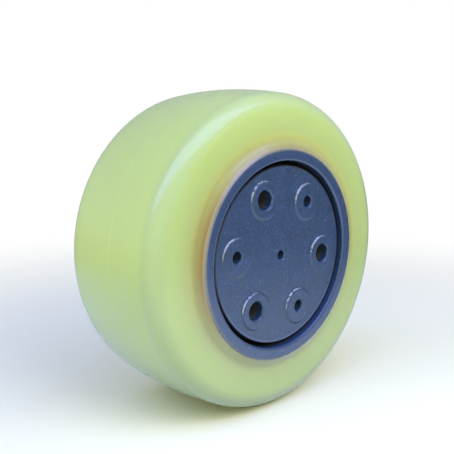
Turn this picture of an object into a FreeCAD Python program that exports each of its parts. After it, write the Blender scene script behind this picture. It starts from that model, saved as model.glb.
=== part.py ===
import FreeCAD, Part

import math
import os

# Industrial drive wheel, millimetres and degrees. The origin is the wheel's centre, the wheel turns about Y,
# its front face looks toward -Y and +Z is up.

# Polyurethane tyre
tyre_diameter = 250.0
tread_width = 107.0         # between the tread's corners, before they are rounded
tread_thickness = 29.0      # from the rim's bond face to the tread
crown_drop = 4.5            # fall of the tread from its middle to its corners
shoulder_radius = 13.0
lip_width = 5.8             # sloped collar of tyre that climbs from the side wall to the rim's ring
lip_rise = 3.1
lip_root_radius = 6.0       # hollow corner between that collar and the side wall

# Wheel casting: rim, rear web, ribs and bearing housing
running_gap = 3.0           # open gap between the still hub disc and the turning rim
ring_width = 9.5
ring_chamfer = 1.3          # the end rings stand out of the tyre by this chamfer
mouth_radius = 2.0          # front ring's inner edge
bond_flank = 13.0           # length of the rim's sloped flank under the tyre
bond_land = 1.0             # short straight stretch of rim just under the end ring
cavity_draft = 1.5
cast_radius = 4.0           # hollow corners at the bottom of the casting's cavity
web_thickness = 24.0
housing_wall = 9.0
rib_count = 6
rib_thickness = 9.0
rib_setback = 10.0          # ribs start this far behind the housing's front face
drive_recess = 3.0          # depth of the recess that centres the driving flange
recess_chamfer = 0.5
rear_ring_width = 5.5
drive_bolt_count = 6
drive_thread = 10.2         # M12 core
drive_thread_chamfer = 1.0

# Hub: still disc with six machined pads, in one piece with its stub axle
disc_diameter = 138.0
disc_recess = 3.8           # disc face below the rim's ring
disc_thickness = 18.2
disc_edge_chamfer = 0.8
pad_count = 6
pad_diameter = 29.2         # at the disc, before the root is rounded
pad_height = 1.5
pad_slope = 0.9             # width of the pad's sloped edge, before it is rounded
pad_edge_radius = 1.3
pad_root_radius = 1.5
hole_edge = 21.0            # from the disc's edge to the circle of holes
hole_phase = -6.0           # first large hole, from +X toward +Z
large_thread = 14.5         # M16 x 1.5 core
large_thread_chamfer = 1.2
small_thread = 9.0          # M10 x 1 core
small_thread_chamfer = 1.0
centre_thread = 7.0         # M8 x 1 core
centre_thread_chamfer = 1.1
centre_thread_depth = 22.0
root_radius = 4.0
thread_step = 0.5           # axle's fine thread, at its mean depth, below the bearing seats
keyway_width = 6.0
keyway_depth = 3.0
axle_chamfer = 0.5
hub_clearance = 4.0         # disc's back to the housing's front

# Two taper roller bearings, large ends outward
bearing_bore = 45.0
bearing_outer = 85.0
bearing_width = 20.75       # back of inner ring to back of outer ring
inner_ring_width = 19.0
outer_ring_width = 16.0
race_chamfer = 1.0          # rings' corners on their seats
roller_diameter = 9.6       # at the middle of its length
roller_gap = 4.5            # least room between neighbouring rollers
roller_end_room = 1.65      # rings beyond the rollers, both ends together
roller_tilt = 13.0
roller_clearance = 0.06
large_rib_height = 3.0
small_rib_height = 1.1
cage_thickness = 1.2
cage_offset = 1.2           # cage's middle lies this far outside the rollers' axes
cage_margin = 2.0           # cage beyond each end of the rollers
pocket_clearance = 0.25
bearing_spacing = 11.5      # casting rib between the two outer rings
rib_bore_step = 5.5         # height of that rib inside the bearing bore
fit = 0.01                  # radial room of rings on their seats

# Shaft seal in front of the front bearing
seal_bore = 60.0
seal_step = 2.5             # seal's seat outside the bearing bore
seal_width = 10.0
seal_inset = 1.0
seal_shell = 2.4
seal_lip_clearance = 0.1
seal_lip_setback = 2.0      # lip ends this far inside the seal
seal_lip_slope = 2.0        # from the lip's end to its edge

# Slotted lock nut and its tab washer
nut_rim = 10.5              # nut outside the thread
nut_width = 10.0
nut_slot_width = 6.0
nut_slot_depth = 2.5
nut_slot_count = 4
nut_chamfer = 1.0
washer_thickness = 1.5
washer_rim = 7.0            # washer outside the thread
tab_width = 5.6
tab_length = 6.0
axle_end = 0.5              # axle beyond the nut
end_clearance = 2.0

# Rear cap, its gasket and screws
cap_thickness = 4.0
cap_sink = 3.0              # cap below the driving face, so that its screws clear it
cap_screw_margin = 1.0      # cap beyond its screw heads
cap_clearance = 0.2
cap_edge_chamfer = 0.6
spigot_wall = 3.0
spigot_depth = 4.0
spigot_clearance = 0.1
gasket_thickness = 1.0
cap_screw_count = 6
cap_screw_thread = 4.5      # M5 at its mean diameter
cap_screw_clearance_hole = 5.5
cap_screw_length = 12.0
cap_screw_head = 9.5
cap_screw_head_height = 2.75
cap_screw_head_top = 5.5
cap_screw_socket = 3.0      # across flats
cap_screw_socket_depth = 1.6
tap_margin = 2.0            # tapped hole beyond the screw's end

NEAR = 1e-3                 # edges within this of a place count as there
ORIGIN = FreeCAD.Vector(0, 0, 0)
AXIS = FreeCAD.Vector(0, 1, 0)
OVERSHOOT = 1.0             # cutting tools reach this far out of the work

# Radii, worked outward from the axle
bore_r = bearing_bore / 2
thread_r = bore_r - thread_step
nut_r = thread_r + nut_rim
housing_r = bearing_outer / 2 + fit
seal_seat_r = housing_r + seal_step
housing_outer_r = seal_seat_r + housing_wall
cap_land = cap_screw_head + 2 * cap_screw_margin
cap_seat_r = housing_r + cap_land
cap_r = cap_seat_r - cap_clearance
disc_r = disc_diameter / 2
mouth_r = disc_r + running_gap
ring_r = mouth_r + ring_width
drive_recess_r = ring_r - rear_ring_width
drive_circle_r = (cap_seat_r + drive_recess_r) / 2
cap_screw_circle_r = housing_r + cap_land / 2
tyre_r = tyre_diameter / 2
bond_r = tyre_r - tread_thickness
corner_r = tyre_r - crown_drop
hole_circle_r = disc_r - hole_edge

# Places along the axle, from the front ring to the rear one, with the wheel's middle at zero
stack = {
    "disc": disc_recess,
    "disc_back": disc_thickness,
    "housing": hub_clearance,
    "seal": seal_inset,
    "shoulder": seal_width,
    "front_outer_back": bearing_width,
    "rear_outer_back": bearing_spacing,
    "rear_inner_back": bearing_width,
    "nut": washer_thickness,
    "nut_back": nut_width,
    "axle_back": axle_end,
    "cap": end_clearance,
    "cap_face": cap_thickness,
    "drive_face": cap_sink,
    "rear": drive_recess,
}
hub_width = sum(stack.values())
front = -hub_width / 2
place = {"front": front}
reached = front
for name, length in stack.items():
    reached += length
    place[name] = reached
rear = place["rear"]
pad_y = place["disc"] - pad_height
cap_seat_y = place["cap"] - gasket_thickness


def spin(points):
    """Solid of revolution about Y from an outline of (radius, y) points."""
    corners = [FreeCAD.Vector(r, y, 0) for r, y in points]
    return Part.Face(Part.makePolygon(corners + corners[:1])).revolve(ORIGIN, AXIS, 360)


def mirrored(points):
    """The outline's other half: the same points across the wheel's middle, in the opposite order."""
    return [(r, -y) for r, y in reversed(points)]


def angles(count, first=0.0):
    return [first + 360.0 * i / count for i in range(count)]


def on_circle(shape, radius, y, angle):
    """A copy of a tool or piece that is round about Y, moved to its place on a circle."""
    turn = math.radians(angle)
    return shape.translated(FreeCAD.Vector(radius * math.cos(turn), y, radius * math.sin(turn)))


def turned(shape, angle):
    """A copy turned about the axle, from +X toward +Z."""
    copy = shape.copy()
    copy.rotate(ORIGIN, AXIS, -angle)
    return copy


def circles(solid, radius, y):
    """The solid's round edges with this radius and this place along the axle."""
    found = []
    for edge in solid.Edges:
        curve = edge.Curve
        if not isinstance(curve, Part.Circle):
            continue
        if abs(curve.Radius - radius) < NEAR and abs(curve.Center.y - y) < NEAR:
            found.append(edge)
    return found


def hole_tool(diameter, depth, chamfer, inward=1):
    """Drill with a chamfered mouth at y = 0, going into the work along +Y, or along -Y with inward = -1."""
    way = AXIS * inward
    start = way * -OVERSHOOT
    radius = diameter / 2
    drill = Part.makeCylinder(radius, depth + OVERSHOOT, start, way)
    mouth = Part.makeCone(radius + chamfer + OVERSHOOT, radius, chamfer + OVERSHOOT, start, way)
    return drill.fuse(mouth)


def bond_outline():
    """Outline of the rim's bond face, from the front ring to the rear one, shared by tyre and casting."""
    lip_y = front + ring_chamfer
    flank_y = lip_y + bond_land
    half = [(ring_r, lip_y), (ring_r, flank_y), (bond_r, flank_y + bond_flank)]
    return half + mirrored(half)


def tyre():
    corner_y = -tread_width / 2
    foot_r = ring_r + lip_width
    foot_y = front + ring_chamfer + lip_rise
    foot = FreeCAD.Vector(foot_r, foot_y, 0)
    corner = FreeCAD.Vector(corner_r, corner_y, 0)
    crown = FreeCAD.Vector(tyre_r, 0, 0)
    bond = [FreeCAD.Vector(r, y, 0) for r, y in bond_outline()]

    def across(p):
        return FreeCAD.Vector(p.x, -p.y, 0)

    edges = [
        Part.makeLine(bond[0], foot),
        Part.makeLine(foot, corner),
        Part.Arc(corner, crown, across(corner)).toShape(),
        Part.makeLine(across(corner), across(foot)),
        Part.makeLine(across(foot), bond[-1]),
    ]
    edges += [Part.makeLine(a, b) for a, b in zip(bond[::-1], bond[-2::-1])]
    solid = Part.Face(Part.Wire(edges)).revolve(ORIGIN, AXIS, 360)
    corners = circles(solid, corner_r, corner_y) + circles(solid, corner_r, -corner_y)
    solid = solid.makeFillet(shoulder_radius, corners)
    roots = circles(solid, foot_r, foot_y) + circles(solid, foot_r, -foot_y)
    return solid.makeFillet(lip_root_radius, roots)


def wheel_casting():
    web_front = place["drive_face"] - web_thickness
    housing_front = place["housing"]
    seal_back = place["shoulder"]
    rib_bore_r = housing_r - rib_bore_step
    cavity_r = mouth_r - cavity_draft
    outline = [
        (mouth_r, front),
        (ring_r - ring_chamfer, front),
        (ring_r, front + ring_chamfer),
    ]
    outline += bond_outline()[1:-1]
    outline += [
        (ring_r, rear - ring_chamfer),
        (ring_r - ring_chamfer, rear),
        (drive_recess_r + recess_chamfer, rear),
        (drive_recess_r, rear - recess_chamfer),
        (drive_recess_r, place["drive_face"]),
        (cap_seat_r, place["drive_face"]),
        (cap_seat_r, cap_seat_y),
        (housing_r, cap_seat_y),
        (housing_r, place["rear_outer_back"]),
        (rib_bore_r, place["rear_outer_back"]),
        (rib_bore_r, place["front_outer_back"]),
        (housing_r, place["front_outer_back"]),
        (housing_r, seal_back),
        (seal_seat_r, seal_back),
        (seal_seat_r, housing_front),
        (housing_outer_r, housing_front),
        (housing_outer_r, web_front),
        (cavity_r, web_front),
    ]
    casting = spin(outline)
    casting = casting.makeFillet(mouth_radius, circles(casting, mouth_r, front))
    roots = circles(casting, cavity_r, web_front) + circles(casting, housing_outer_r, web_front)
    casting = casting.makeFillet(cast_radius, roots)
    rib_front = housing_front + rib_setback
    rib = Part.makeBox(
        cavity_r - housing_outer_r + 2 * OVERSHOOT,
        web_front - rib_front + OVERSHOOT,
        rib_thickness,
        FreeCAD.Vector(housing_outer_r - OVERSHOOT, rib_front, -rib_thickness / 2),
    )
    half_step = 180.0 / rib_count
    casting = casting.fuse([turned(rib, a) for a in angles(rib_count, half_step)])
    through = web_thickness + cast_radius + OVERSHOOT
    drive_hole = hole_tool(drive_thread, through, drive_thread_chamfer, -1)
    tap = hole_tool(cap_screw_thread, cap_screw_length - cap_thickness + tap_margin, 0.0, -1)
    cuts = [on_circle(drive_hole, drive_circle_r, place["drive_face"], a) for a in angles(drive_bolt_count)]
    cuts += [on_circle(tap, cap_screw_circle_r, cap_seat_y, a) for a in angles(cap_screw_count)]
    return casting.cut(cuts).removeSplitter()


def hub_flange():
    seal_seat = seal_bore / 2
    body = spin([
        (0, place["disc"]),
        (disc_r - disc_edge_chamfer, place["disc"]),
        (disc_r, place["disc"] + disc_edge_chamfer),
        (disc_r, place["disc_back"] - disc_edge_chamfer),
        (disc_r - disc_edge_chamfer, place["disc_back"]),
        (seal_seat, place["disc_back"]),
        (seal_seat, place["shoulder"]),
        (bore_r, place["shoulder"]),
        (bore_r, place["rear_inner_back"]),
        (thread_r, place["rear_inner_back"]),
        (thread_r, place["axle_back"] - axle_chamfer),
        (thread_r - axle_chamfer, place["axle_back"]),
        (0, place["axle_back"]),
    ])
    body = body.makeFillet(root_radius, circles(body, seal_seat, place["disc_back"]))
    pad_r = pad_diameter / 2
    pad_top_r = pad_r - pad_slope
    pad = Part.makeCone(pad_r, pad_top_r, pad_height, ORIGIN, AXIS * -1)
    hole_angles = angles(pad_count, hole_phase)
    body = body.fuse([on_circle(pad, hole_circle_r, place["disc"], a) for a in hole_angles])
    body = body.makeFillet(pad_edge_radius, circles(body, pad_top_r, pad_y))
    body = body.makeFillet(pad_root_radius, circles(body, pad_r, place["disc"]))
    through = disc_thickness + pad_height + OVERSHOOT
    large = hole_tool(large_thread, through, large_thread_chamfer)
    small = hole_tool(small_thread, through, small_thread_chamfer)
    centre = hole_tool(centre_thread, centre_thread_depth, centre_thread_chamfer)
    cuts = [on_circle(large, hole_circle_r, pad_y, a) for a in hole_angles[0::2]]
    cuts += [on_circle(small, hole_circle_r, pad_y, a) for a in hole_angles[1::2]]
    cuts.append(on_circle(centre, 0, place["disc"], 0))
    keyway = Part.makeBox(
        keyway_width,
        place["axle_back"] - place["rear_inner_back"] + OVERSHOOT,
        keyway_depth + OVERSHOOT,
        FreeCAD.Vector(-keyway_width / 2, place["rear_inner_back"], thread_r - keyway_depth),
    )
    cuts.append(keyway)
    return body.cut(cuts).removeSplitter()


class TaperBearing:
    """One taper roller bearing, its inner ring's back at y = 0 and its apex toward +Y."""

    def __init__(self):
        tilt = math.radians(roller_tilt)
        self.pitch_r = (bearing_bore + bearing_outer) / 4
        self.roller_length = inner_ring_width + outer_ring_width - bearing_width - roller_end_room
        room = roller_diameter + roller_gap
        self.roller_angles = angles(int(2 * math.pi * self.pitch_r / room))
        self.along = (-math.sin(tilt), math.cos(tilt))
        self.across = (math.cos(tilt), math.sin(tilt))
        self.apex_length = self.pitch_r / math.sin(tilt)
        self.half_angle = math.atan(roller_diameter / 2 / self.apex_length)
        self.middle_y = (bearing_width - outer_ring_width + inner_ring_width) / 2
        self.apex_y = self.middle_y + self.apex_length * math.cos(tilt)
        self.outer_slope = math.tan(tilt + self.half_angle)

    def point(self, along, across):
        """(radius, y) from the roller's middle: along its axis toward the apex, and outward across it."""
        r = self.pitch_r + along * self.along[0] + across * self.across[0]
        y = self.middle_y + along * self.along[1] + across * self.across[1]
        return r, y

    def roller_r(self, along):
        return (self.apex_length - along) * math.tan(self.half_angle)

    def outer_ring(self):
        thin_y = bearing_width - outer_ring_width
        outer_r = bearing_outer / 2
        return spin([
            ((self.apex_y - thin_y) * self.outer_slope, thin_y),
            (outer_r - race_chamfer, thin_y),
            (outer_r, thin_y + race_chamfer),
            (outer_r, bearing_width - race_chamfer),
            (outer_r - race_chamfer, bearing_width),
            ((self.apex_y - bearing_width) * self.outer_slope, bearing_width),
        ])

    def inner_ring(self):
        end = self.roller_length / 2 + roller_clearance
        large_r = self.roller_r(-end)
        small_r = self.roller_r(end)
        large_top = self.point(-end, large_rib_height - large_r)
        small_top = self.point(end, small_rib_height - small_r)
        return spin([
            (bore_r, race_chamfer),
            (bore_r + race_chamfer, 0),
            (large_top[0], 0),
            large_top,
            self.point(-end, -large_r),
            self.point(end, -small_r),
            small_top,
            (small_top[0], inner_ring_width),
            (bore_r + race_chamfer, inner_ring_width),
            (bore_r, inner_ring_width - race_chamfer),
        ])

    def roller(self, margin):
        """One roller at +X, larger than its true form all round by margin."""
        end = self.roller_length / 2 + margin
        base = self.point(-end, 0)
        way = FreeCAD.Vector(self.along[0], self.along[1], 0)
        large_r = self.roller_r(-end) + margin
        small_r = self.roller_r(end) + margin
        return Part.makeCone(large_r, small_r, 2 * end, FreeCAD.Vector(base[0], base[1], 0), way)

    def rollers(self):
        roller = self.roller(-roller_clearance)
        return Part.makeCompound([turned(roller, a) for a in self.roller_angles])

    def cage(self):
        end = self.roller_length / 2 + cage_margin
        inside = cage_offset - cage_thickness / 2
        outside = cage_offset + cage_thickness / 2
        shell = spin([
            self.point(-end, inside),
            self.point(-end, outside),
            self.point(end, outside),
            self.point(end, inside),
        ])
        pocket = self.roller(pocket_clearance)
        return shell.cut([turned(pocket, a) for a in self.roller_angles])

    def pieces(self):
        return {
            "bearing_outer_ring": self.outer_ring(),
            "bearing_inner_ring": self.inner_ring(),
            "bearing_rollers": self.rollers(),
            "bearing_cage": self.cage(),
        }


def bearings():
    """The front bearing stands on the hub's shoulder, and the rear one is its mirror image under the nut."""
    nodes = {}
    for piece, shape in TaperBearing().pieces().items():
        nodes["front_" + piece] = shape.translated(AXIS * place["shoulder"])
        nodes["rear_" + piece] = shape.mirror(ORIGIN, AXIS).translated(AXIS * place["rear_inner_back"])
    return nodes


def shaft_seal():
    """Lip seal: a shell pressed into the casting and a lip that runs on the hub's seat."""
    shell_r = seal_seat_r - fit
    lip_r = seal_bore / 2 + seal_lip_clearance
    start = place["seal"]
    lip_root = lip_r + seal_shell
    lip_end = start + seal_width - seal_lip_setback
    return spin([
        (shell_r, start),
        (shell_r, start + seal_width),
        (shell_r - seal_shell, start + seal_width),
        (shell_r - seal_shell, start + seal_shell),
        (lip_root + seal_shell, start + seal_shell),
        (lip_root + seal_shell, lip_end),
        (lip_root - seal_shell / 2, lip_end),
        (lip_r, lip_end - seal_lip_slope),
        (lip_root, start + seal_shell),
        (lip_root, start),
    ])


def tab_washer():
    start = place["rear_inner_back"]
    ring = Part.makeCylinder(thread_r + washer_rim, washer_thickness, AXIS * start, AXIS)
    ring = ring.cut(Part.makeCylinder(thread_r, washer_thickness, AXIS * start, AXIS))
    inner_tab = Part.makeBox(
        tab_width,
        washer_thickness,
        keyway_depth,
        FreeCAD.Vector(-tab_width / 2, start, thread_r - keyway_depth / 2),
    )
    tab_r = nut_r - nut_slot_depth + fit
    arm = Part.makeBox(
        tab_width,
        washer_thickness,
        tab_r + washer_thickness - thread_r - OVERSHOOT,
        FreeCAD.Vector(-tab_width / 2, start, thread_r + OVERSHOOT),
    )
    bent_tab = Part.makeBox(
        tab_width,
        washer_thickness + tab_length,
        washer_thickness,
        FreeCAD.Vector(-tab_width / 2, start, tab_r),
    )
    return ring.fuse([inner_tab, arm, bent_tab]).removeSplitter()


def lock_nut():
    start = place["nut"]
    end = place["nut_back"]
    nut = spin([
        (thread_r, start),
        (nut_r - nut_chamfer, start),
        (nut_r, start + nut_chamfer),
        (nut_r, end - nut_chamfer),
        (nut_r - nut_chamfer, end),
        (thread_r, end),
    ])
    slot = Part.makeBox(
        nut_slot_width,
        nut_width,
        nut_slot_depth + OVERSHOOT,
        FreeCAD.Vector(-nut_slot_width / 2, start, nut_r - nut_slot_depth),
    )
    return nut.cut([turned(slot, a) for a in angles(nut_slot_count)])


def rear_cap():
    inner_y = place["cap"]
    outer_y = place["cap_face"]
    spigot_r = housing_r - spigot_clearance
    cap = spin([
        (0, inner_y),
        (spigot_r - spigot_wall, inner_y),
        (spigot_r - spigot_wall, inner_y - spigot_depth),
        (spigot_r, inner_y - spigot_depth),
        (spigot_r, inner_y),
        (cap_r, inner_y),
        (cap_r, outer_y - cap_edge_chamfer),
        (cap_r - cap_edge_chamfer, outer_y),
        (0, outer_y),
    ])
    drill = hole_tool(cap_screw_clearance_hole, cap_thickness + OVERSHOOT, 0.0, -1)
    cuts = [on_circle(drill, cap_screw_circle_r, outer_y, a) for a in angles(cap_screw_count)]
    return cap.cut(cuts)


def cap_gasket():
    gasket = spin([
        (housing_r, cap_seat_y),
        (cap_r, cap_seat_y),
        (cap_r, place["cap"]),
        (housing_r, place["cap"]),
    ])
    drill = hole_tool(cap_screw_clearance_hole, gasket_thickness + OVERSHOOT, 0.0, -1)
    cuts = [on_circle(drill, cap_screw_circle_r, place["cap"], a) for a in angles(cap_screw_count)]
    return gasket.cut(cuts)


def cap_screws():
    """Low round-headed screws with a hexagon socket, their heads' seats at y = 0."""
    screw = spin([
        (0, -cap_screw_length),
        (cap_screw_thread / 2, -cap_screw_length),
        (cap_screw_thread / 2, 0),
        (cap_screw_head / 2, 0),
        (cap_screw_head_top / 2, cap_screw_head_height),
        (0, cap_screw_head_height),
    ])
    socket_r = cap_screw_socket / math.sqrt(3)
    bottom = cap_screw_head_height - cap_screw_socket_depth
    hexagon = [math.radians(a) for a in angles(6)]
    corners = [FreeCAD.Vector(socket_r * math.cos(a), bottom, socket_r * math.sin(a)) for a in hexagon]
    socket = Part.Face(Part.makePolygon(corners + corners[:1]))
    screw = screw.cut(socket.extrude(AXIS * (cap_screw_socket_depth + OVERSHOOT)))
    seat = place["cap_face"]
    return Part.makeCompound([on_circle(screw, cap_screw_circle_r, seat, a) for a in angles(cap_screw_count)])


nodes = {
    "tyre": tyre(),
    "wheel_casting": wheel_casting(),
    "hub_flange": hub_flange(),
    "shaft_seal": shaft_seal(),
    "tab_washer": tab_washer(),
    "lock_nut": lock_nut(),
    "rear_cap": rear_cap(),
    "cap_gasket": cap_gasket(),
    "cap_screws": cap_screws(),
}
nodes.update(bearings())

os.makedirs("parts", exist_ok=True)
for name, shape in nodes.items():
    shape.exportStep("parts/" + name + ".step")
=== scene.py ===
import math

import bmesh
import bpy
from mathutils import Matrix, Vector


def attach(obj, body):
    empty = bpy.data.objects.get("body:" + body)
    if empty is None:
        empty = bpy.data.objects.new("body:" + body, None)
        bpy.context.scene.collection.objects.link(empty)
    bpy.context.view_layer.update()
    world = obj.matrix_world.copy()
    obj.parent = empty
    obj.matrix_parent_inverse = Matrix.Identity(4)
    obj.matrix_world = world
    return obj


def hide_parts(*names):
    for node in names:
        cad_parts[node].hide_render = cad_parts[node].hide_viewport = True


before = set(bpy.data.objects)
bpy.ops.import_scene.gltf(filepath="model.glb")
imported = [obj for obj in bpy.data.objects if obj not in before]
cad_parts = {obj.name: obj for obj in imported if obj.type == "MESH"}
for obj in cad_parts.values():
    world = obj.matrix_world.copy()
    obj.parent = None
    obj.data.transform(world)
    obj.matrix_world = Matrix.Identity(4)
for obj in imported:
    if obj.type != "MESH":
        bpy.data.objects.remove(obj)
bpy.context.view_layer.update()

# Looks of an industrial drive wheel in the part's own frame: it turns about Y, its front looks toward -Y and +Z is
# up. Lengths are millimetres, except that the room, from FLOOR_R on, is in metres. Colours are linear. A grain is a
# noise's size, detail and roughness. A mask is a pair of limits and the pair of levels that it has at them.
MM = 0.001
GROWS = (0.0, 1.0)
FADES = (1.0, 0.0)

# Tyre's outline
TYRE_R = 125.0
TREAD_HALF = 53.5           # half the width between the tread's corners, before they are rounded
CROWN_DROP = 4.5
SHOULDER_R = 13.0
RING_R = 81.5
LIP_Y = -55.7
LIP_WIDTH = 5.8
LIP_RISE = 3.1
LIP_ROOT_R = 6.0
BOND_R = 96.0
BOND_LAND = 1.0
BOND_FLANK = 13.0

# Tyre's mesh: points round it, steps along each stretch of its outline, and the angle from which an edge stays sharp
TYRE_TURNS = 288
LIP_STEPS = 4
ROOT_STEPS = 8
WALL_STEPS = 8
SHOULDER_STEPS = 20
CROWN_STEPS = 16
SHARP_DEGREES = 28

# Polyurethane. Depth runs outward from the ring's edge, across from -1 at the wheel's left to 1 at its right, and
# rise from -1 at its bottom to 1 at its top.
RESIN_SHADES = [(0.2, (0.475, 0.583, 0.193)), (0.8, (0.49, 0.598, 0.208))]
RESIN_GRAIN = (60, 1)
RESIN_SKIN_GRAIN = (9, 1)
RESIN_BUMP = 0.03
RESIN_BUMP_DEPTH = 0.1
RESIN_GLOSS_GRAIN = (30, 1)
RESIN_ROUGHNESS = (0.2, 0.8), (0.2, 0.25)
RESIN_COAT = 0.6
RESIN_COAT_ROUGHNESS = 0.18
RESIN_SCATTER = (0.0, 8.0), (0.3, 1.0)          # by depth
RESIN_SCATTER_COLOURS = (1.0, 1.1, 0.5)
RESIN_SCATTER_REACH = 20.0
PAINTED_GLOW = (0.64, 0.70, 0.17)                       # painted glow: brighter resin for light held in the side wall near the ring
PAINTED_GLOW_STARTS = (2.0, 5.0), (0.0, 0.6)            # by depth
PAINTED_GLOW_ENDS = (7.0, 15.0), FADES
# the painted glow fades toward the bottom, where less light falls
PAINTED_GLOW_BY_RISE = (-0.6, 0.0), (0.1, 1.0)
HALO = (0.30, 0.14, 0.012)                      # amber bond seen through thin resin round the ring
HALO_REACH = (-0.95, 0.1), (7.0, 5.0)           # by across: the depth in which it falls to about a third
HALO_BY_ACROSS = (-0.95, -0.7), (1.05, 0.7)
HALO_BY_RISE = (-0.75, 0.0), (0.5, 1.0)
PARTING = (0.7, 0.78, 0.5)                      # faint, broken mould line round the tread
PARTING_Y = -6.0
PARTING_EDGE = (0.1, 0.5), FADES                # by the distance from its middle
PARTING_GRAIN = (40, 2)
PARTING_BREAKS = (0.4, 0.6), (0.2, 1.0)
PARTING_SHARE = 0.3
PARTING_HEIGHT = 1.5
SHOULDER_SHEEN = (0.425, 0.52, 0.225)                 # painted sheen: darker, bluer resin on both shoulders, under the ceiling light's highlight
SHOULDER_SHEEN_RADII = (106.0, 117.0), GROWS
SHOULDER_SHEEN_OFF_MIDDLE = (34.0, 46.0), GROWS

# Pale film of resin over the ring's edge, strongest toward one side in X and Z, as painted sheen where the light
# falls
FILM_AND_SHEEN_SIDE = (-0.643, 0.766)
FILM_AND_SHEEN_BY_SIDE = (-0.8, 0.9), GROWS
FILM_AND_SHEEN_ON_TYRE = (0.48, 0.41, 0.22)
FILM_DEPTH = (0.2, 1.2), (0.7, 0.0)
FILM_AND_SHEEN_ON_RING = (0.27, 0.24, 0.15)
FILM_RADII = (78.4, 81.6), GROWS
FILM_OFF_MIDDLE = (52.0, 53.0), GROWS           # only the ring's end faces have it

# Paint of both castings: a fine and a broad grain with their shares in its colour and height, and pale specks. It
# stops inside the wheel, between a place behind the front and the web.
FINE_GRAIN = (1.1, 3, 0.6)
FINE_SHARE = 0.7
FINE_HEIGHT = 2.0
BROAD_GRAIN = (8, 3, 0.55)
BROAD_SHARE = 0.3
BROAD_HEIGHT = 1.4
PAINT_SHADE_LIMITS = (0.36, 0.64)
SPECK = (0.13, 0.17, 0.24)
SPECK_GRAIN = (1.7, 1)
SPECK_LIMITS = (0.64, 0.72)
PAINT_BUMP_DEPTH = 0.25
PAINT_COAT_IOR = 1.7
PAINT_COAT_ROUGHNESS = 0.15
PAINT_END_WIDTH = 3.0
WEB_PAINT = (28.0, 30.0), FADES

# Casting: smooth paint with worn edges
CASTING = (0.021, 0.049, 0.120)
CASTING_MOTTLE = 0.08
CASTING_BUMP = 0.03
CASTING_ROUGHNESS = (0.3, 0.7), (0.25, 0.36)    # by the broad grain
CASTING_COAT = 0.6
CASTING_PAINT_END = -50.0
# unpainted iron inside the wheel, darkened to near black: partly painted shade in the gap and the interior
CASTING_BARE_AND_SHADE = (0.02, 0.02, 0.02)
CASTING_BARE_ROUGHER = 0.5
EDGE_WEAR = (0.13, 0.16, 0.22)
EDGE_WEAR_WIDTH = 0.6
EDGE_WEAR_GRAIN = (5, 3, 0.7)
EDGE_WEAR_BREAKS = (0.4, 0.6), (0.0, 0.7)

# Hub: paint over a cast skin, a painted highlight on the upper left of the pads' rims, a painted reflection as a lit
# line low round the disc's edge, and painted shade as a dark seam outside it
HUB = (0.016, 0.045, 0.108)
HUB_MOTTLE = 0.4
HUB_BUMP = 1.0
HUB_SOFT_EDGE = 0.3
HUB_ROUGHNESS = (0.3, 0.7), (0.28, 0.39)        # by the broad grain
HUB_COAT = 0.5
HUB_PAINT_END = -47.0
# unpainted iron in the bores and behind the disc, darkened: partly painted shade
HUB_BARE_AND_SHADE = (0.06, 0.057, 0.055)
HUB_BARE_ROUGHER = 0.4
# painted highlight: pale, metallic, broken marks on the pads' rims that face the upper left, where the light falls
PAD_HIGHLIGHT = (0.66, 0.65, 0.6)
PAD_HIGHLIGHT_WAY = (-0.6, 0.0, 0.8)
PAD_HIGHLIGHT_FACING = (0.42, 0.62), GROWS
PAD_HIGHLIGHT_GRAIN = (2.5, 3, 0.7)
PAD_HIGHLIGHT_BREAKS = (0.38, 0.52), (0.0, 0.7)
PAD_Y = (-53.1, -52.9), FADES
CHAMFER_FACING = -math.sqrt(0.5)                # chamfers of the holes, which get none of the painted highlight
CHAMFER_MARGIN = 0.02
# painted reflection of the floor on the disc's edge, strongest low down
LIT_LINE = (0.16, 0.21, 0.45)
LIT_LINE_STARTS = (66.5, 67.1), GROWS           # by radius
LIT_LINE_ENDS = (67.5, 67.9), FADES
LIT_LINE_BY_Z = (-45.0, -10.0), (0.4, 0.0)
# painted shade: a near-black band on the disc's rim that stands for the shade in the gap to the ring
PAINTED_GAP_SHADE = (0.006, 0.007, 0.009)
PAINTED_GAP_SHADE_RADII = (67.6, 68.0), GROWS
PAINTED_GAP_SHADE_Y = (-50.0, -49.0), FADES

# Steel and rubber: each kind's colour, a steel's roughness, and the nodes that have it
STEELS = [
    ("bearing_steel", (0.55, 0.56, 0.58), 0.2, [
        "front_bearing_outer_ring",
        "front_bearing_inner_ring",
        "rear_bearing_outer_ring",
        "rear_bearing_inner_ring",
    ]),
    ("roller_steel", (0.62, 0.63, 0.65), 0.14, ["front_bearing_rollers", "rear_bearing_rollers"]),
    ("cage_steel", (0.4, 0.4, 0.41), 0.36, ["front_bearing_cage", "rear_bearing_cage"]),
    ("washer_steel", (0.5, 0.5, 0.5), 0.3, ["tab_washer"]),
    ("nut_steel", (0.12, 0.12, 0.13), 0.4, ["lock_nut"]),
    ("screw_steel", (0.5, 0.5, 0.5), 0.3, ["cap_screws"]),
]
RUBBERS = [
    ("seal_rubber", (0.02, 0.02, 0.02), ["shaft_seal"]),
    ("gasket_sheet", (0.12, 0.1, 0.08), ["cap_gasket"]),
]
STEEL_GRAIN = (6, 3)
STEEL_SHADES = (0.3, 0.7), (0.85, 1.0)
STEEL_GLOSS_GRAIN = (3, 3)
STEEL_GLOSS_LIMITS = (0.3, 0.7)
STEEL_SMOOTHER = 0.05
STEEL_ROUGHER = 0.08
STEEL_SOFT_EDGE = 0.2
TURNED_RINGS = 6000.0                           # in a metre
TURNED_BUMP = 0.1
TURNED_BUMP_DEPTH = 0.02
RUBBER_GRAIN = (2, 4)
RUBBER_SHADES = (0.3, 0.7), (0.7, 1.3)
RUBBER_GLOSS_GRAIN = (4, 2)
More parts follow.
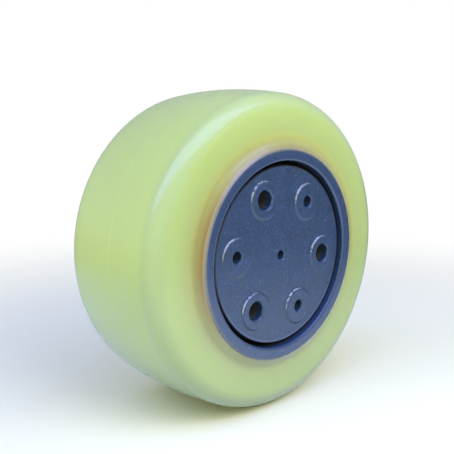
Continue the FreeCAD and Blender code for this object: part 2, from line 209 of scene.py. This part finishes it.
RUBBER_ROUGHNESS = (0.3, 0.7), (0.5, 0.7)
RUBBER_SKIN_GRAIN = (0.8, 3)
RUBBER_BUMP = 0.15
RUBBER_BUMP_DEPTH = 0.1
RUBBER_SOFT_EDGE = 0.3

# All materials
DIELECTRIC_IOR = 1.5
BEVEL_SAMPLES = 6
EDGE_LIKENESS = (0.93, 0.995), FADES            # how alike the plain and the rounded normal are near an edge

# The photograph's camera: its place round the wheel and the wheel's centre in its picture
PICTURE = 454.0
CENTRE_PIXEL = (233.8, 245.3)
AZIMUTH = -43.58
ELEVATION = 11.28
DISTANCE = 538.5
FOCAL_PIXELS = 654.0
SENSOR = 36.0

# Floor: a disc that fades out round the wheel, and its colours to the camera, in reflections, and as bounced light at
# the wheel's left and right
FLOOR_R = 4.0
FLOOR_SEGMENTS = 96
FLOOR_FADE = (0.2, 0.8), GROWS
FLOOR_ROUGHNESS = 0.8
FLOOR_SPECULAR = 0.1
FLOOR_SEEN = (0.99, 0.96, 0.67)
FLOOR_REFLECTED = (0.92, 1.0, 0.85)
FLOOR_BOUNCE_LEFT = (0.76, 0.76, 0.62)
FLOOR_BOUNCE_RIGHT = (0.3, 0.3, 0.32)
FLOOR_LEFT = (-0.28, -0.03), FADES              # by X

# Room: white to the camera, and as light the bright side's compass direction and how it gives way to the dim side,
# then both sides' colours by height, from straight down at -1 to straight up at 1
ROOM_SEEN = (1.0, 1.0, 1.0)
BRIGHT_WAY = (-0.997, 0.08, 0.0)
BRIGHT_BY_WAY = (-0.3, 1.0), GROWS
BRIGHT_SIDE = [
    (-1.0, (0.9, 0.98, 0.5)),
    (-0.05, (1.15, 1.25, 0.65)),
    (0.05, (1.3, 1.39, 1.02)),
    (0.3, (1.1, 1.18, 0.9)),
    (0.6, (0.55, 0.58, 0.56)),
    (1.0, (0.2, 0.23, 0.28)),
]
DIM_SIDE = [
    (-1.0, (0.3, 0.3, 0.32)),
    (-0.05, (0.22, 0.22, 0.24)),
    (0.05, (0.48, 0.54, 0.46)),
    (0.5, (0.42, 0.46, 0.46)),
    (1.0, (0.25, 0.28, 0.28)),
]

# Long ceiling light: its middle, the way it runs in X and Y, its length, width, power and colour
STRIP_MIDDLE = (-1.007, -0.2025, 1.5)
STRIP_ALONG = (0.78, -0.61)
STRIP_LENGTH = 5.25
STRIP_WIDTH = 1.43
STRIP_POWER = 76.0
STRIP_COLOUR = (0.29, 0.345, 1.0)

# Near light over the wheel's front: its place, the point it looks at, its side, power and colour
NEAR_PLACE = (-0.05, -0.48, 0.30)
NEAR_TARGET = (-0.03, -0.05, 0.07)
NEAR_SIZE = 0.35
NEAR_POWER = 2.0
NEAR_COLOUR = (1.0, 1.0, 0.95)


def arc(centre, start, end, steps):
    """Points on a circle from start to end, the short way round."""
    first = math.atan2(start[1] - centre[1], start[0] - centre[0])
    last = math.atan2(end[1] - centre[1], end[0] - centre[0])
    turn = (last - first + math.pi) % (2 * math.pi) - math.pi
    radius = math.dist(centre, start)
    angles = [first + turn * i / steps for i in range(steps + 1)]
    return [(centre[0] + radius * math.cos(a), centre[1] + radius * math.sin(a)) for a in angles]


def line(start, end, steps):
    """Points on a straight line, with both ends."""
    return [tuple(s + (e - s) * i / steps for s, e in zip(start, end)) for i in range(steps + 1)]


def tyre_outline():
    """The tyre's closed outline as (radius, y): lip, side wall, shoulder, crown and back, then the bond face."""
    lip = Vector((RING_R, LIP_Y))
    foot = Vector((RING_R + LIP_WIDTH, LIP_Y + LIP_RISE))
    corner = Vector((TYRE_R - CROWN_DROP, -TREAD_HALF))
    wall = (corner - foot).normalized()
    outward = Vector((wall.y, -wall.x))
    collar = (lip - foot).normalized()
    root_run = LIP_ROOT_R * math.tan(math.acos(-collar.dot(wall)) / 2)
    root_start = foot + collar * root_run
    root_end = foot + wall * root_run
    root = root_end + outward * LIP_ROOT_R

    crown_r = (TREAD_HALF ** 2 + CROWN_DROP ** 2) / (2 * CROWN_DROP)
    crown = Vector((TYRE_R - crown_r, 0))
    along = foot - outward * SHOULDER_R - crown
    half_b = along.dot(wall)
    gap = along.dot(along) - (crown_r - SHOULDER_R) ** 2
    shoulder = crown + along + wall * (math.sqrt(half_b ** 2 - gap) - half_b)
    wall_end = shoulder + outward * SHOULDER_R
    tread_end = crown + (shoulder - crown).normalized() * crown_r

    half = line(lip, root_start, LIP_STEPS)
    half += arc(root, root_start, root_end, ROOT_STEPS)[1:]
    half += line(root_end, wall_end, WALL_STEPS)[1:]
    half += arc(shoulder, wall_end, tread_end, SHOULDER_STEPS)[1:]
    half += arc(crown, tread_end, (TYRE_R, 0), CROWN_STEPS)[1:]
    back = [(r, -y) for r, y in reversed(half[:-1])]
    flank_y = LIP_Y + BOND_LAND
    bond_y = flank_y + BOND_FLANK
    return half + back + [(RING_R, -flank_y), (BOND_R, -bond_y), (BOND_R, bond_y), (RING_R, flank_y)]


def ring(bm, radius, y, turns):
    """Points round the wheel's axis."""
    angles = [2 * math.pi * i / turns for i in range(turns)]
    return [bm.verts.new((radius * math.cos(a) * MM, y * MM, radius * math.sin(a) * MM)) for a in angles]


def bridge(bm, first, second):
    """Faces between two rings of points with the same count."""
    count = len(first)
    for i in range(count):
        j = (i + 1) % count
        bm.faces.new((first[i], first[j], second[j], second[i]))


def piece(name, bm, sharp_degrees):
    """A mesh object from closed bmesh faces, smooth except at edges sharper than the angle."""
    bmesh.ops.recalc_face_normals(bm, faces=bm.faces)
    mesh = bpy.data.meshes.new(name)
    bm.to_mesh(mesh)
    bm.free()
    for polygon in mesh.polygons:
        polygon.use_smooth = True
    mesh.set_sharp_from_angle(angle=math.radians(sharp_degrees))
    made = bpy.data.objects.new(name, mesh)
    bpy.context.scene.collection.objects.link(made)
    return made


class Nodes:
    """Adds nodes to a tree. A value given to a node is another node's output or a constant."""

    # A Mix node's sockets for colours
    MIX_SHARE, MIX_A, MIX_B, MIX_RESULT = 0, 6, 7, 2

    def __init__(self, tree):
        self.tree = tree

    def feed(self, socket, value):
        """Links an output to the socket or sets a constant on it. A colour gets its alpha here."""
        if isinstance(value, bpy.types.NodeSocket):
            self.tree.links.new(value, socket)
        else:
            socket.default_value = (*value, 1) if socket.type == "RGBA" else value

    def node(self, kind, inputs=None, **settings):
        made = self.tree.nodes.new(kind)
        for name, value in settings.items():
            setattr(made, name, value)
        for key, value in (inputs or {}).items():
            self.feed(made.inputs[key], value)
        return made

    def math(self, operation, *values):
        return self.node("ShaderNodeMath", dict(enumerate(values)), operation=operation).outputs[0]

    def times(self, a, b):
        return self.math("MULTIPLY", a, b)

    def add(self, a, b):
        return self.math("ADD", a, b)

    def vector_math(self, operation, *vectors):
        """Outputs Vector and Value, of which an operation fills one."""
        return self.node("ShaderNodeVectorMath", dict(enumerate(vectors)), operation=operation).outputs

    def split(self, vector):
        """Outputs X, Y and Z."""
        return self.node("ShaderNodeSeparateXYZ", {"Vector": vector}).outputs

    def spread(self, value, mask):
        """The mask's level at a value: smooth between the limits and held outside them."""
        (start, end), (low, high) = mask
        inputs = {"Value": value, "From Min": start, "From Max": end, "To Min": low, "To Max": high}
        return self.node("ShaderNodeMapRange", inputs, interpolation_type="SMOOTHSTEP").outputs["Result"]

    def mix(self, share, a, b):
        """Colour a where the share is 0 and colour b where it is 1."""
        inputs = {self.MIX_SHARE: share, self.MIX_A: a, self.MIX_B: b}
        return self.node("ShaderNodeMix", inputs, data_type="RGBA").outputs[self.MIX_RESULT]

    def ramp(self, share, stops):
        """Colours by share, from stops of a share and its colour in rising order."""
        made = self.node("ShaderNodeValToRGB", {"Fac": share})
        elements = made.color_ramp.elements
        while len(elements) < len(stops):
            elements.new(0.5)
        for element, (position, colour) in zip(elements, stops):
            element.position = position
            element.color = (*colour, 1)
        return made.outputs["Color"]


class Shader(Nodes):
    """A material. Its colours and bumps come from object coordinates, which turn with the piece."""

    def __init__(self, name):
        self.material = bpy.data.materials.new(name)
        self.material.use_nodes = True
        super().__init__(self.material.node_tree)
        self.bsdf = self.tree.nodes["Principled BSDF"]
        coordinates = self.node("ShaderNodeTexCoord").outputs
        self.place = coordinates["Object"]
        self.normal = coordinates["Normal"]

    def set(self, **sockets):
        """Feeds the surface's sockets, in whose names _ stands for a space."""
        for name, value in sockets.items():
            self.feed(self.bsdf.inputs[name.replace("_", " ")], value)

    def axes(self):
        """The place's X, Y and Z in metres."""
        return self.split(self.place)

    def radius(self):
        """Distance from the wheel's axis, in metres."""
        flat = self.vector_math("MULTIPLY", self.place, (1, 0, 1))["Vector"]
        return self.vector_math("LENGTH", flat)["Value"]

    def toward(self, side):
        """1 on the wheel's side that lies this way in X and Z, -1 on the opposite side."""
        reach = self.vector_math("DOT_PRODUCT", self.place, (side[0], 0, side[1]))["Value"]
        return self.math("DIVIDE", reach, self.radius())

    def band(self, length, mask):
        """As spread, for a length in metres and limits in millimetres."""
        (start, end), levels = mask
        return self.spread(length, ((start * MM, end * MM), levels))

    def noise(self, size, detail=2.0, roughness=0.5):
        inputs = {"Vector": self.place, "Scale": 1 / (size * MM), "Detail": detail, "Roughness": roughness}
        return self.node("ShaderNodeTexNoise", inputs).outputs["Fac"]

    def shades(self, share, colour, mask):
        """The colour times the mask's levels at two limits of the share."""
        return self.ramp(share, [(limit, tuple(c * level for c in colour)) for limit, level in zip(*mask)])

    def bump(self, height, strength, depth, normal=None):
        inputs = {"Height": height, "Strength": strength, "Distance": depth * MM}
        if normal is not None:
            inputs["Normal"] = normal
        return self.node("ShaderNodeBump", inputs).outputs["Normal"]

    def soft_edges(self, width):
        """Normals rounded over edges by this many millimetres."""
        return self.node("ShaderNodeBevel", {"Radius": width * MM}, samples=BEVEL_SAMPLES).outputs["Normal"]

    def edges(self, width):
        """1 along edges and 0 on plain faces, within about this many millimetres of the edge."""
        plain = self.node("ShaderNodeNewGeometry").outputs["Normal"]
        alike = self.vector_math("DOT_PRODUCT", plain, self.soft_edges(width))["Value"]
        return self.spread(alike, EDGE_LIKENESS)


def polyurethane():
    """Cast translucent polyurethane: yellow-green, amber where it thins out over the bond at the rim's ring, with a
    painted glow in the side wall near the ring and painted sheen on the shoulders and on the pale film at the ring's
    edge.
    """
    s = Shader("cast_polyurethane")
    radius = s.radius()
    axes = s.axes()
    across = s.math("DIVIDE", axes["X"], radius)
    rise = s.math("DIVIDE", axes["Z"], radius)
    depth = s.math("SUBTRACT", radius, RING_R * MM)

    # painted glow: brighter resin a little way out from the ring, weaker toward the bottom
    painted_glow = s.times(s.band(depth, PAINTED_GLOW_STARTS), s.band(depth, PAINTED_GLOW_ENDS))
    painted_glow = s.times(painted_glow, s.spread(rise, PAINTED_GLOW_BY_RISE))
    reach_limits, reaches = HALO_REACH
    reach = s.spread(across, (reach_limits, [-r * MM for r in reaches]))
    strength = s.times(s.spread(across, HALO_BY_ACROSS), s.spread(rise, HALO_BY_RISE))
    halo = s.times(strength, s.math("EXPONENT", s.math("DIVIDE", depth, reach)))
    # pale resin film at the ring's edge, made stronger toward the upper left as painted sheen
    film_and_sheen = s.times(s.band(depth, FILM_DEPTH), s.spread(s.toward(FILM_AND_SHEEN_SIDE), FILM_AND_SHEEN_BY_SIDE))
    off_line = s.math("ABSOLUTE", s.math("SUBTRACT", axes["Y"], PARTING_Y * MM))
    parting = s.times(s.band(off_line, PARTING_EDGE), s.spread(s.noise(*PARTING_GRAIN), PARTING_BREAKS))
    off_middle = s.math("ABSOLUTE", axes["Y"])
    # painted sheen on both shoulders
    shoulder = s.times(s.band(radius, SHOULDER_SHEEN_RADII), s.band(off_middle, SHOULDER_SHEEN_OFF_MIDDLE))

    colour = s.ramp(s.noise(*RESIN_GRAIN), RESIN_SHADES)
    colour = s.mix(painted_glow, colour, PAINTED_GLOW)
    colour = s.mix(s.times(parting, PARTING_SHARE), colour, PARTING)
    colour = s.mix(shoulder, colour, SHOULDER_SHEEN)
    colour = s.mix(halo, colour, HALO)
    height = s.add(s.noise(*RESIN_SKIN_GRAIN), s.times(parting, PARTING_HEIGHT))
    s.set(
        Base_Color=s.mix(film_and_sheen, colour, FILM_AND_SHEEN_ON_TYRE),
        Subsurface_Weight=s.band(depth, RESIN_SCATTER),
        Subsurface_Radius=RESIN_SCATTER_COLOURS,
        Subsurface_Scale=RESIN_SCATTER_REACH * MM,
        IOR=DIELECTRIC_IOR,
        Coat_Weight=RESIN_COAT,
        Coat_Roughness=RESIN_COAT_ROUGHNESS,
        Roughness=s.spread(s.noise(*RESIN_GLOSS_GRAIN), RESIN_ROUGHNESS),
        Normal=s.bump(height, RESIN_BUMP, RESIN_BUMP_DEPTH),
    )
    return s.material


def paint(s, colour, mottle):
    """Sprayed paint's uneven colour with pale specks, then its broad grain and its height."""
    fine = s.noise(*FINE_GRAIN)
    broad = s.noise(*BROAD_GRAIN)
    uneven = s.add(s.times(fine, FINE_SHARE), s.times(broad, BROAD_SHARE))
    skin = s.shades(uneven, colour, (PAINT_SHADE_LIMITS, (1 - mottle, 1 + mottle)))
    specks = s.spread(s.noise(*SPECK_GRAIN), (SPECK_LIMITS, (0.0, mottle)))
    height = s.add(s.times(fine, FINE_HEIGHT), s.times(broad, BROAD_HEIGHT))
    return s.mix(specks, skin, SPECK), broad, height


def unpainted(s, paint_end):
    """1 inside the wheel, from the front paint's end back to the web, and 0 on painted faces. The dark colour laid
    there is partly painted shade.
    """
    y = s.axes()["Y"]
    front_paint = (paint_end - PAINT_END_WIDTH, paint_end), GROWS
    return s.times(s.band(y, front_paint), s.band(y, WEB_PAINT))


def casting_paint():
    """Smooth glossy paint on the machined casting: worn edges, a pale film where the tyre's resin ran over, made
    stronger toward the upper left as painted sheen, and near-black painted shade on the bare iron inside the wheel.
    """
    s = Shader("casting_paint")
    skin, broad, height = paint(s, CASTING, CASTING_MOTTLE)
    pale_marks = s.times(s.edges(EDGE_WEAR_WIDTH), s.spread(s.noise(*EDGE_WEAR_GRAIN), EDGE_WEAR_BREAKS))
    # pale resin film over the ring's edge, made stronger toward the upper left as painted sheen
    film_and_sheen = s.times(s.band(s.radius(), FILM_RADII), s.spread(s.toward(FILM_AND_SHEEN_SIDE), FILM_AND_SHEEN_BY_SIDE))
    film_and_sheen = s.times(film_and_sheen, s.band(s.math("ABSOLUTE", s.axes()["Y"]), FILM_OFF_MIDDLE))
    bare_and_shade = unpainted(s, CASTING_PAINT_END)
    skin = s.mix(pale_marks, skin, EDGE_WEAR)
    skin = s.mix(film_and_sheen, skin, FILM_AND_SHEEN_ON_RING)
    s.set(
        Base_Color=s.mix(bare_and_shade, skin, CASTING_BARE_AND_SHADE),
        Roughness=s.add(s.spread(broad, CASTING_ROUGHNESS), s.times(bare_and_shade, CASTING_BARE_ROUGHER)),
        IOR=DIELECTRIC_IOR,
        Coat_Weight=s.spread(bare_and_shade, (GROWS, (CASTING_COAT, 0.0))),
        Coat_IOR=PAINT_COAT_IOR,
        Coat_Roughness=PAINT_COAT_ROUGHNESS,
        Normal=s.bump(height, CASTING_BUMP, PAINT_BUMP_DEPTH),
    )
    return s.material


def hub_paint():
    """Glossy paint over the hub disc's cast skin: a painted highlight on the pads' upper rims, a painted reflection
    low round the disc's edge, and painted shade as a dark seam at its edge and in the bores.
    """
    s = Shader("hub_paint")
    radius = s.radius()
    axes = s.axes()
    skin, broad, height = paint(s, HUB, HUB_MOTTLE)
    # painted highlight on the pads' rims that face the light
    facing_light = s.vector_math("DOT_PRODUCT", s.normal, PAD_HIGHLIGHT_WAY)["Value"]
    broken_highlight = s.times(s.spread(facing_light, PAD_HIGHLIGHT_FACING), s.spread(s.noise(*PAD_HIGHLIGHT_GRAIN), PAD_HIGHLIGHT_BREAKS))
    chamfer = s.math("COMPARE", s.split(s.normal)["Y"], CHAMFER_FACING, CHAMFER_MARGIN)
    raised = s.math("SUBTRACT", s.band(axes["Y"], PAD_Y), chamfer)
    pale_marks = s.times(s.math("MAXIMUM", raised, 0.0), broken_highlight)
    lit = s.times(s.band(radius, LIT_LINE_STARTS), s.band(radius, LIT_LINE_ENDS))
    lit = s.times(lit, s.band(axes["Z"], LIT_LINE_BY_Z))
    bare_and_shade = unpainted(s, HUB_PAINT_END)
    # painted shade in the gap between the disc and the ring
    gap_shade = s.times(s.band(radius, PAINTED_GAP_SHADE_RADII), s.band(axes["Y"], PAINTED_GAP_SHADE_Y))
    skin = s.mix(pale_marks, skin, PAD_HIGHLIGHT)
    skin = s.mix(lit, skin, LIT_LINE)
    skin = s.mix(bare_and_shade, skin, HUB_BARE_AND_SHADE)
    s.set(
        Base_Color=s.mix(gap_shade, skin, PAINTED_GAP_SHADE),
        Metallic=pale_marks,
        Roughness=s.add(s.spread(broad, HUB_ROUGHNESS), s.times(bare_and_shade, HUB_BARE_ROUGHER)),
        IOR=DIELECTRIC_IOR,
        Coat_Weight=s.spread(bare_and_shade, (GROWS, (HUB_COAT, 0.0))),
        Coat_IOR=PAINT_COAT_IOR,
        Coat_Roughness=PAINT_COAT_ROUGHNESS,
        Normal=s.bump(height, HUB_BUMP, PAINT_BUMP_DEPTH, s.soft_edges(HUB_SOFT_EDGE)),
    )
    return s.material


def steel(name, colour, roughness):
    """Bare turned or ground steel: fine rings round the axle and a faint cloud."""
    s = Shader(name)
    inputs = {"W": s.radius(), "Scale": TURNED_RINGS}
    rings = s.node("ShaderNodeTexNoise", inputs, noise_dimensions="1D").outputs["Fac"]
    gloss = STEEL_GLOSS_LIMITS, (roughness - STEEL_SMOOTHER, roughness + STEEL_ROUGHER)
    s.set(
        Base_Color=s.shades(s.noise(*STEEL_GRAIN), colour, STEEL_SHADES),
        Metallic=1.0,
        Roughness=s.spread(s.noise(*STEEL_GLOSS_GRAIN), gloss),
        Normal=s.bump(rings, TURNED_BUMP, TURNED_BUMP_DEPTH, s.soft_edges(STEEL_SOFT_EDGE)),
    )
    return s.material


def rubber(name, colour):
    """Dull rubber or gasket sheet with a fine skin."""
    s = Shader(name)
    height = s.noise(*RUBBER_SKIN_GRAIN)
    s.set(
        Base_Color=s.shades(s.noise(*RUBBER_GRAIN), colour, RUBBER_SHADES),
        Roughness=s.spread(s.noise(*RUBBER_GLOSS_GRAIN), RUBBER_ROUGHNESS),
        Normal=s.bump(height, RUBBER_BUMP, RUBBER_BUMP_DEPTH, s.soft_edges(RUBBER_SOFT_EDGE)),
    )
    return s.material


def make_tyre():
    """The tyre with a finer mesh than the CAD node's, in its place."""
    bm = bmesh.new()
    loops = [ring(bm, r, y, TYRE_TURNS) for r, y in tyre_outline()]
    for first, second in zip(loops, loops[1:] + loops[:1]):
        bridge(bm, first, second)
    tyre = piece("tyre_moulding", bm, SHARP_DEGREES)
    tyre.data.materials.append(polyurethane())
    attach(tyre, "wheel")
    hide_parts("tyre")


def dress(material, *nodes):
    """Gives CAD nodes their finish."""
    for name in nodes:
        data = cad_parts[name].data
        if not data.materials:
            data.materials.append(material)
        for i in range(len(data.materials)):
            data.materials[i] = material


def floor_paint():
    """Pale floor that fades into the white ground and throws back more light at the wheel's left."""
    s = Shader("floor")
    rays = s.node("ShaderNodeLightPath").outputs
    left = s.spread(s.axes()["X"], FLOOR_LEFT)
    bounce = s.mix(left, FLOOR_BOUNCE_RIGHT, FLOOR_BOUNCE_LEFT)
    unseen = s.mix(rays["Is Diffuse Ray"], FLOOR_REFLECTED, bounce)
    s.set(
        Base_Color=s.mix(rays["Is Camera Ray"], unseen, FLOOR_SEEN),
        Roughness=FLOOR_ROUGHNESS,
        Specular_IOR_Level=FLOOR_SPECULAR,
    )
    away = s.spread(s.vector_math("LENGTH", s.place)["Value"], FLOOR_FADE)
    clear = s.node("ShaderNodeBsdfTransparent").outputs[0]
    fade = s.node("ShaderNodeMixShader", {0: away, 1: s.bsdf.outputs[0], 2: clear}).outputs[0]
    s.feed(s.tree.nodes["Material Output"].inputs["Surface"], fade)
    return s.material


def make_floor():
    """A disc under the tyre, which is stage and not part of the wheel."""
    mesh = bpy.data.meshes.new("floor")
    bm = bmesh.new()
    bmesh.ops.create_circle(bm, cap_ends=True, segments=FLOOR_SEGMENTS, radius=FLOOR_R)
    bm.to_mesh(mesh)
    bm.free()
    floor = bpy.data.objects.new("floor", mesh)
    floor.location.z = -TYRE_R * MM
    bpy.context.scene.collection.objects.link(floor)
    mesh.materials.append(floor_paint())


def room():
    """White to the camera. As light it has a bright and a dim side, each with its own colours by height."""
    world = bpy.data.worlds.new("studio")
    bpy.context.scene.world = world
    world.use_nodes = True
    s = Nodes(world.node_tree)
    way = s.node("ShaderNodeTexCoord").outputs["Generated"]
    flat = s.vector_math("MULTIPLY", way, (1, 1, 0))["Vector"]
    compass = s.vector_math("NORMALIZE", flat)["Vector"]
    side = s.spread(s.vector_math("DOT_PRODUCT", compass, BRIGHT_WAY)["Value"], BRIGHT_BY_WAY)
    level = s.node("ShaderNodeMapRange", {"Value": s.split(way)["Z"], "From Min": -1.0}).outputs["Result"]
    dim, bright = (
        s.ramp(level, [((height + 1) / 2, colour) for height, colour in stops]) for stops in (DIM_SIDE, BRIGHT_SIDE)
    )
    light = s.tree.nodes["Background"]
    s.feed(light.inputs["Color"], s.mix(side, dim, bright))
    ground = s.node("ShaderNodeBackground", {"Color": ROOM_SEEN})
    seen = s.node("ShaderNodeLightPath").outputs["Is Camera Ray"]
    both = s.node("ShaderNodeMixShader", {0: seen, 1: light.outputs[0], 2: ground.outputs[0]}).outputs[0]
    s.feed(s.tree.nodes["World Output"].inputs["Surface"], both)


def area_light(name, place, power, colour):
    data = bpy.data.lights.new(name, "AREA")
    data.energy = power
    data.color = colour
    lamp = bpy.data.objects.new(name, data)
    lamp.location = place
    bpy.context.scene.collection.objects.link(lamp)
    return lamp


def lights():
    """A long light on the ceiling, and a small near one that lifts the front without a glint."""
    strip = area_light("ceiling_light", STRIP_MIDDLE, STRIP_POWER, STRIP_COLOUR)
    strip.data.shape = "RECTANGLE"
    strip.data.size = STRIP_LENGTH
    strip.data.size_y = STRIP_WIDTH
    strip.rotation_euler.z = math.atan2(STRIP_ALONG[1], STRIP_ALONG[0])

    near = area_light("near_light", NEAR_PLACE, NEAR_POWER, NEAR_COLOUR)
    near.data.size = NEAR_SIZE
    near.rotation_euler = (Vector(NEAR_TARGET) - Vector(NEAR_PLACE)).to_track_quat("-Z", "Y").to_euler()
    near.visible_glossy = False


def camera():
    """The photograph's camera, looking at the wheel's centre, with the shift that its framing needs."""
    bpy.context.scene.view_settings.view_transform = "Standard"
    data = bpy.data.cameras.new("camera")
    data.sensor_width = SENSOR
    data.lens = SENSOR * FOCAL_PIXELS / PICTURE
    data.shift_x = (PICTURE / 2 - CENTRE_PIXEL[0]) / PICTURE
    data.shift_y = (CENTRE_PIXEL[1] - PICTURE / 2) / PICTURE
    view = bpy.data.objects.new("camera", data)
    turn, rise = math.radians(AZIMUTH), math.radians(ELEVATION)
    back = Vector((math.sin(turn) * math.cos(rise), -math.cos(turn) * math.cos(rise), math.sin(rise)))
    view.location = back * DISTANCE * MM
    view.rotation_euler = (-back).to_track_quat("-Z", "Y").to_euler()
    bpy.context.scene.collection.objects.link(view)
    bpy.context.scene.camera = view


make_tyre()
dress(casting_paint(), "wheel_casting", "rear_cap")
dress(hub_paint(), "hub_flange")
for name, colour, roughness, nodes in STEELS:
    dress(steel(name, colour, roughness), *nodes)
for name, colour, nodes in RUBBERS:
    dress(rubber(name, colour), *nodes)
make_floor()
room()
lights()
camera()
